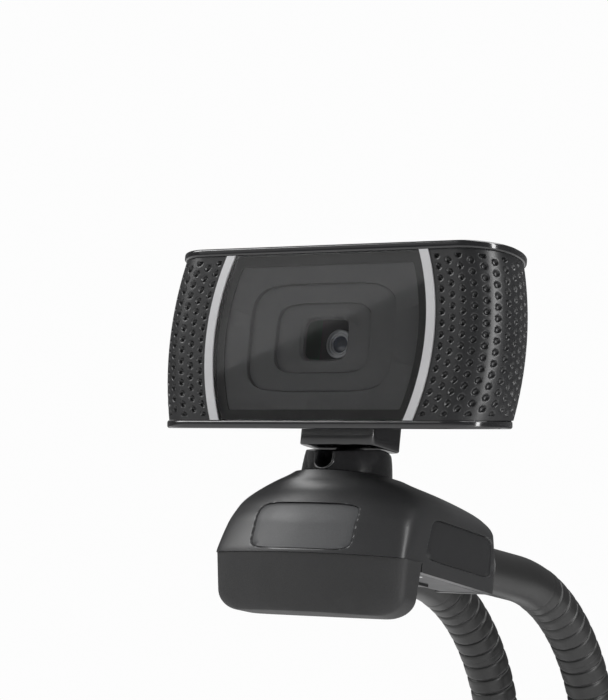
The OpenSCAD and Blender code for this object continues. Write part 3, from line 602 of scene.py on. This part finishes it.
# %% Plates that follow the hood
def inside_hood(x, y, z, inset):
    """True where a point lies inside the hood's skin moved inwards."""
    centre = wall_sizes(z)[-1]
    far, _ = hood_radius(np.arctan2(y - centre, x), z, inset)
    return np.hypot(x, y - centre) < far


def meet_hood(start, direction, inset):
    """Points on the moved skin, from inside points outwards: twenty-four halvings of the interval."""
    near, away = np.zeros(len(start)), np.full(len(start), 40.0)
    for _ in range(24):
        middle = (near + away) / 2
        p = start + middle[:, None] * direction
        within = inside_hood(p[:, 0], p[:, 1], p[:, 2], inset)
        near, away = np.where(within, middle, near), np.where(within, away, middle)
    return start + near[:, None] * direction


def follow_plate(name, half, at, direction, node, slot_name):
    """Rounded-rectangle plate: rings from its middle out on the skin, a small rim, and back below."""
    angle = np.linspace(0, 2 * np.pi, 160, endpoint=False)
    direction = np.array(direction, float)
    rings = []
    skin = [(part, SINK - 0.4) for part in (0.05, 0.3, 0.6, 0.85, 0.985)]
    for part, inset in skin + [(1.0, SINK - 0.33), (1.0, SINK), (0.05, SINK)]:
        far = barrel((half[0] - 0.1, half[1] - 0.1), angle, 7.0) * part
        u, v = far * np.cos(angle), far * np.sin(angle)
        if direction[0]:
            u = np.where(u < 0, u * leaning(v), u)
        start = np.zeros((len(angle), 3))
        start[:, 2] = at[1] + v
        start[:, 1 if direction[0] else 0] = at[0] + u
        rings.append(meet_hood(start, direction, inset))
    return dress(rings_solid(name, np.array(rings), "base", slot_name), node)


follow_plate("blank_label", LABEL_HALF, (0.0, LABEL_Z), (0, -1, 0), "label_plate", "label")
for side, turn in (("right", 1), ("left", -1)):
    follow_plate(f"{side}_inset", PANEL_HALF, PANEL_AT, (turn, 0, 0), f"{side}_arm_panel", "satin_black")

# %% [markdown]
# ## Front lip
# The lip is a soft matt moulding that hangs in front of the screen. It is lofted from height to height,
# with the bowed front of the hood, sides that taper and round lower corners.

# %% Lip
LIP_TOP, LIP_LOW = 2.05, corners("front_lip")[0][2]
LIP_BACK, LIP_CORNER = -3.22, 3.4


def lip_ring(z, count=200):
    """Rounded oblong with a bowed front, sized by height: a quarter circle narrows it near the bottom."""
    drop = np.clip((LIP_TOP - z) / (LIP_TOP - LIP_LOW), 0, 1)
    low = np.clip((z - LIP_LOW) / LIP_CORNER, 0, 1)
    narrowing = 1 - np.sqrt(1 - (1 - low) ** 2)
    half = 19.62 - 0.8 * drop - 5.0 * narrowing
    front = -13.6 + 1.6 * drop + 0.9 * narrowing
    a = np.linspace(0, 2 * np.pi, count, endpoint=False)
    depth = (LIP_BACK - front) / 2
    far = barrel((half, depth), a, 9.0)
    x, y = far * np.cos(a), (LIP_BACK + front) / 2 + far * np.sin(a)
    bow = 3.9 * (x / 19.8) ** 2 * np.clip((LIP_BACK - y) / (2 * depth), 0, 1)
    return np.stack([x, y + bow, np.full_like(x, z)], 1)


lip_turn = np.linspace(0, np.pi / 2, 14)
lip_heights = np.concatenate([
    [LIP_TOP, LIP_TOP - 0.12],
    np.linspace(1.4, LIP_LOW + LIP_CORNER, 18),
    LIP_LOW + LIP_CORNER * (1 - np.sin(lip_turn[1:])) + 0.001,
])
dress(rings_solid("soft_lip", np.array([lip_ring(z) for z in lip_heights]), "base", "lip_soft"), "front_lip")

# %% [markdown]
# ## Neck
# The neck is a glossy turned turret with a slot for the head's lug, under a square collar block. Both
# are small and shiny, so their rounded edges carry the highlights.

# %% Turret
TURRET_Z, PIN_Z = HOOD_H + 0.12, 19.4
turret_line = np.array([
    [0.02, 0.0], [7.9, 0.0], [8.0, 0.12], [7.95, 0.6], [7.85, 1.6], [7.7, 2.8],
    [7.52, 3.8], [7.4, 4.25], [7.22, 4.55], [6.95, 4.71], [6.6, 4.76], [0.02, 4.77],
])


def turned(name, line, body, slot_name, count=160, **keys):
    """A profile of radius and height carried round the upright axis."""
    a = np.linspace(0, 2 * np.pi, count, endpoint=False)
    rings = np.stack([line[:, :1] * np.cos(a), line[:, :1] * np.sin(a), np.repeat(line[:, 1:], count, 1)], -1)
    return rings_solid(name, rings, body, slot_name, **keys)


turret = turned("turret_dome", turret_line + [0, TURRET_Z], None, "gloss_black", smooth_angle=40)
ROOF_SLOPE, ROOF_FROM_PIN, SLOT_HALF = math.radians(12.3), 2.56, 1.65
for lean in (-1, 1):
    roof = block((-12, -14, ROOF_FROM_PIN), (12, 14, 9))
    to_pin = Matrix.Translation((0, 0, PIN_Z * MM))
    roof.data.transform(to_pin @ Matrix.Rotation(lean * ROOF_SLOPE, 4, "X"))
    cut(turret, roof)
slot_bottom = TURRET_Z + 1.75
cut(turret, block((-SLOT_HALF, -9, slot_bottom), (SLOT_HALF, 5, 30)))
cut(turret, rod((0, -5, slot_bottom), (0, 1, 0), SLOT_HALF, 10))
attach(turret, "neck")
spigot_line = np.array([
    [0.02, 10.6], [3.4, 10.6], [3.5, 10.7], [3.5, TURRET_Z + 0.2], [0.02, TURRET_Z + 0.2]
])
dress(turned("turret_spigot", spigot_line, "neck", "gloss_black"))
dress(turret, "turret")


# %% Slot rim
def tube(path, radius, count=16, up=(0.0, 0.0, 1.0)):
    """Rings round a path: each ring stands across the path's own direction."""
    path = np.asarray(path, float)
    along = np.gradient(path, axis=0)
    along /= np.linalg.norm(along, axis=1, keepdims=True)
    side = np.cross(along, up)
    side /= np.linalg.norm(side, axis=1, keepdims=True)
    other = np.cross(side, along)
    a = np.linspace(0, 2 * np.pi, count, endpoint=False)
    radius = np.broadcast_to(radius, (len(path),))[:, None, None]
    ring = side[:, None] * np.cos(a)[None, :, None] + other[:, None] * np.sin(a)[None, :, None]
    return path[:, None] + radius * ring


def turret_front(x, z):
    """Front y of the turret's dome at x and height z."""
    r = np.interp(z - TURRET_Z, turret_line[1:, 1], turret_line[1:, 0])
    return -np.sqrt(r**2 - x**2)


rim_turn = np.linspace(0, np.pi, 40)
rim_x = np.concatenate([np.full(12, -1.85), -1.85 * np.cos(rim_turn), np.full(12, 1.85)])
rim_down, rim_up = np.linspace(3.15, 1.8, 12), np.linspace(1.8, 3.15, 12)
rim_z = np.concatenate([rim_down, 1.75 - 1.55 * np.sin(rim_turn), rim_up]) + TURRET_Z
rim_path = np.stack([rim_x, turret_front(rim_x, rim_z) + 0.12, rim_z], 1)
dress(rings_solid("slot_rim", tube(rim_path, 0.3, up=(0.0, 1.0, 0.0)), "neck", "gloss_black"))

# %% Collar block
COLLAR_LOW, COLLAR_HALF, LUG_R = 22.0, (7.65, 4.75), 2.6


def oblong(half, power=16.0, count=160):
    """Rounded rectangle outline about the turning axis."""
    a = np.linspace(0, 2 * np.pi, count, endpoint=False)
    far = barrel(half, a, power)
    return np.stack([far * np.cos(a), far * np.sin(a)], 1)


def collar_top(y):
    """The sloping cap's underside above a point of the collar."""
    return HEAD_Z - HALF_H - 0.07 + (y - FACE_Y) * math.tan(CAP_SLOPE) - 1.4 / math.cos(CAP_SLOPE)


collar_rings = []
for inset, height in ((1.0, 0.0), (0.3, 0.0), (0.1, 0.08), (0.0, 0.3)):
    outline = oblong((COLLAR_HALF[0] - inset, COLLAR_HALF[1] - inset))
    collar_rings.append(np.column_stack([outline, np.full(len(outline), COLLAR_LOW + height)]))
outline = oblong(COLLAR_HALF)
collar_rings.append(np.column_stack([outline, collar_top(outline[:, 1])]))
dress(rings_solid("collar_block", np.array(collar_rings), "head", "gloss_black"), "head_bracket")
a = np.linspace(0, 2 * np.pi, 96, endpoint=False)
lug_z = np.where(np.sin(a) > 0, PIN_Z + 2.7 * np.clip(np.sin(a), 0, 1) ** 0.3, PIN_Z + LUG_R * np.sin(a))
lug_rings = [
    np.stack([np.full_like(a, x), LUG_R * k * np.cos(a), PIN_Z + (lug_z - PIN_Z) * k], 1)
    for x, k in ((-1.5, 0.93), (-1.38, 1.0), (1.38, 1.0), (1.5, 0.93))
]
dress(rings_solid("tilt_lug", np.array(lug_rings), "head", "gloss_black"))

# %% [markdown]
# ## Lens
# The lens sits deep in the opening. Turned rings round the glass give the fine circles seen inside.

# %% Lens rings
lens_low = corners("lens_barrel")[0]
lens_line = [
    (2.58, 4.5), (2.58, 0.1), (2.5, 0.0), (2.2, 0.0), (2.12, 0.35), (1.95, 0.35),
    (1.9, 0.12), (1.72, 0.12), (1.66, 0.5), (1.5, 0.5), (1.46, 0.7), (1.4, 4.5),
]
a = np.linspace(0, 2 * np.pi, 128, endpoint=False)
lens_rings = [
    np.stack([r * np.cos(a), np.full_like(a, lens_low[1] + y), HEAD_Z + r * np.sin(a)], 1)
    for r, y in lens_line
]
rings = rings_solid("lens_rings", np.array(lens_rings), "head", "lens_metal", closed=True)
dress(rings, "lens_barrel")

# %% [markdown]
# ## Ribbed rubber legs
# Each leg is a rubber sleeve with rounded rings over a bendable wire. It bends across three joints, so
# three sleeves meet at the middles of the sections.

# %% Leg line
LEG_Y, BEND_R = 42.0, 39.0
BENDS = [np.array(j["pos_m"]) / MM for j in frame["joints"] if j["name"].startswith("right_leg_bend")]
ARC_START = [math.degrees(math.atan2(p[1] - LEG_Y, p[2] - (LEG_Z - BEND_R))) for p in BENDS]
SECTION = ARC_START[1] - ARC_START[0]
FOOT_END = ARC_START[2] + SECTION


def leg_line(length):
    """Point at a length along the leg: straight to the arc's start, then round the arc."""
    turn = np.clip((length - LEG_Y) / BEND_R, 0, None)
    y = np.where(length < LEG_Y, length, LEG_Y + BEND_R * np.sin(turn))
    z = LEG_Z - BEND_R * (1 - np.cos(turn))
    return np.stack([np.full_like(length, LEG_X), y, z], -1)


def sleeve_radius(length, first_ring):
    """Smooth collar first, then rings: a rounded ridge with a narrow groove between neighbours."""
    phase = ((length - first_ring) / RING) % 1
    ridge = 1 - np.abs(2 * phase - 1) ** 6
    ringed = 3.62 + 0.68 * np.clip(ridge, 0, 1) ** 0.6
    ease = np.clip((length - first_ring) / 0.8, 0, 1)
    return 4.22 * (1 - ease) + ringed * ease


RING = 3.35
FIRST_RING = 50.2
SLEEVE_START = 28.2
middles = [LEG_Y + BEND_R * math.radians(t + SECTION / 2) for t in ARC_START[:2]]
spans = [SLEEVE_START] + middles + [LEG_Y + BEND_R * math.radians(FOOT_END)]
print("sleeve ends along the leg:", [round(s, 1) for s in spans])


# %% Sleeves, feet
BLEND_REACH, FOOT_R = 4.5, 4.5


def downhill(degrees):
    """Direction of the leg where its arc has turned down by an angle."""
    turn = math.radians(degrees)
    return np.array([0, math.cos(turn), -math.sin(turn)])


for side, turn in (("right", 1), ("left", -1)):
    chain = ["base"] + [f"{side}_leg_{k}" for k in (1, 2, 3)]
    for k in range(3):
        length = np.linspace(spans[k], spans[k + 1], int((spans[k + 1] - spans[k]) * 9))
        grid = tube(leg_line(length), sleeve_radius(length, FIRST_RING), count=72, up=(1.0, 0.0, 0.0))
        grid = grid if turn > 0 else mirrored(grid)
        sleeve = rings_solid(f"{side}_sleeve_{k + 1}", grid, None, "rubber", smooth_angle=None)
        joint = BENDS[k] * [turn, 1, 1]
        along = downhill(ARC_START[k])
        start, end = ((joint + way * BLEND_REACH * along) * MM for way in (-1, 1))
        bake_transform(sleeve)
        dress(sleeve, f"{side}_leg_section_{k + 1}", *([f"{side}_leg_collar"] if k == 0 else []))
    round_end = np.linspace(0, 1, 24)[1:] * np.pi / 2
    straight = 0.4 + 3.2 * np.linspace(0, 1, 6)
    foot_s = spans[3] - 0.3 + np.concatenate([[0, 0.25], straight, 3.6 + FOOT_R * np.sin(round_end)])
    foot_r = np.concatenate([[4.1, 4.4], np.full(6, FOOT_R), FOOT_R * np.cos(round_end)])
    end = leg_line(np.array([spans[3]]))[0]
    path = end + (foot_s - spans[3])[:, None] * downhill(FOOT_END)
    grid = tube(path, np.maximum(foot_r, 0.03), count=72, up=(1.0, 0.0, 0.0))
    grid = grid if turn > 0 else mirrored(grid)
    dress(rings_solid(f"{side}_foot_cap", grid, chain[3], "rubber"), f"{side}_leg_foot")

# %% [markdown]
# ## Stage, light and camera
# A pale floor and a bright surround make a plain studio. Large soft lights sit where a glossy black
# head needs something to mirror: one to the left, one above, a strip on the right, and a dim card whose
# straight edge draws the slanting sheen across the window.

# %% Floor and surround
FLOOR_Z = -0.075
floor_mesh = bpy.data.meshes.new("floor")
floor_corners = [(x, y, FLOOR_Z) for x, y in ((-3, -3), (3, -3), (3, 3), (-3, 3))]
floor_mesh.from_pydata(floor_corners, [], [(0, 1, 2, 3)])
floor = bpy.data.objects.new("floor", floor_mesh)
bpy.context.scene.collection.objects.link(floor)
floor_mesh.materials.append(finish("pale_floor", (0.8, 0.8, 0.8), 0.8, grain=40, tint=0.01))
world = bpy.data.worlds.new("studio")
bpy.context.scene.world = world
world.use_nodes = True
sky = world.node_tree
dim = sky.nodes["Background"]
kinds = ("Background", "MixShader", "LightPath")
bright, choose, path_kind = (sky.nodes.new(f"ShaderNode{kind}") for kind in kinds)
for surround, strength in ((dim, 0.14), (bright, 0.98)):
    surround.inputs["Color"].default_value = (1, 1, 1, 1)
    surround.inputs["Strength"].default_value = strength
sky.links.new(path_kind.outputs["Is Camera Ray"], choose.inputs["Fac"])
sky.links.new(dim.outputs["Background"], choose.inputs[1])
sky.links.new(bright.outputs["Background"], choose.inputs[2])
sky.links.new(choose.outputs["Shader"], sky.nodes["World Output"].inputs["Surface"])
bpy.context.scene.view_settings.view_transform = "Standard"


# %% Soft lights
def softbox(name, place, target, size, power, roll=0.0):
    """A square or oblong area light that faces a target, rolled about that direction."""
    lamp = bpy.data.lights.new(name, "AREA")
    lamp.shape, lamp.size, lamp.size_y, lamp.energy = "RECTANGLE", size[0], size[1], power
    holder = bpy.data.objects.new(name, lamp)
    back = np.array(place) - np.array(target)
    back = back / np.linalg.norm(back)
    right = np.cross([0, 0, 1], back)
    right /= np.linalg.norm(right)
    turn = np.eye(4)
    right = right * math.cos(roll) + np.cross(back, right) * math.sin(roll)
    turn[:3, 0], turn[:3, 1], turn[:3, 2], turn[:3, 3] = right, np.cross(back, right), back, place
    holder.matrix_world = Matrix(turn.tolist())
    bpy.context.scene.collection.objects.link(holder)


softbox("left", (-0.75, -0.45, 0.6), (0, 0, 0.03), (0.5, 0.5), 7.0)
SHEEN_ROLL = math.radians(31.5)
softbox("sheen", (-0.357, -0.44, 0.278), (0, 0, 0.03), (0.3, 0.3), 0.12, SHEEN_ROLL)
softbox("above", (0.1, 0.1, 0.8), (0, 0, 0.03), (0.6, 0.5), 6.0)
softbox("right_strip", (0.66, -0.2, 0.25), (0, 0, 0.02), (0.12, 0.8), 5.0)

# %% Camera
lens = bpy.data.cameras.new("camera")
lens.lens, lens.sensor_width, lens.sensor_fit = 149.95, 36, "AUTO"
camera = bpy.data.objects.new("camera", lens)
right = np.array([0.8290, 0.5504, 0.0990])
back = np.array([0.5591, -0.8121, -0.1674])
right /= np.linalg.norm(right)
back -= right * (right @ back)
back /= np.linalg.norm(back)
turn = np.eye(4)
turn[:3, 0], turn[:3, 1], turn[:3, 2] = right, np.cross(back, right), back
turn[:3, 3] = (0.2778, -0.4204, -0.0469)
camera.matrix_world = Matrix(turn.tolist())
bpy.context.scene.collection.objects.link(camera)
bpy.context.scene.camera = camera
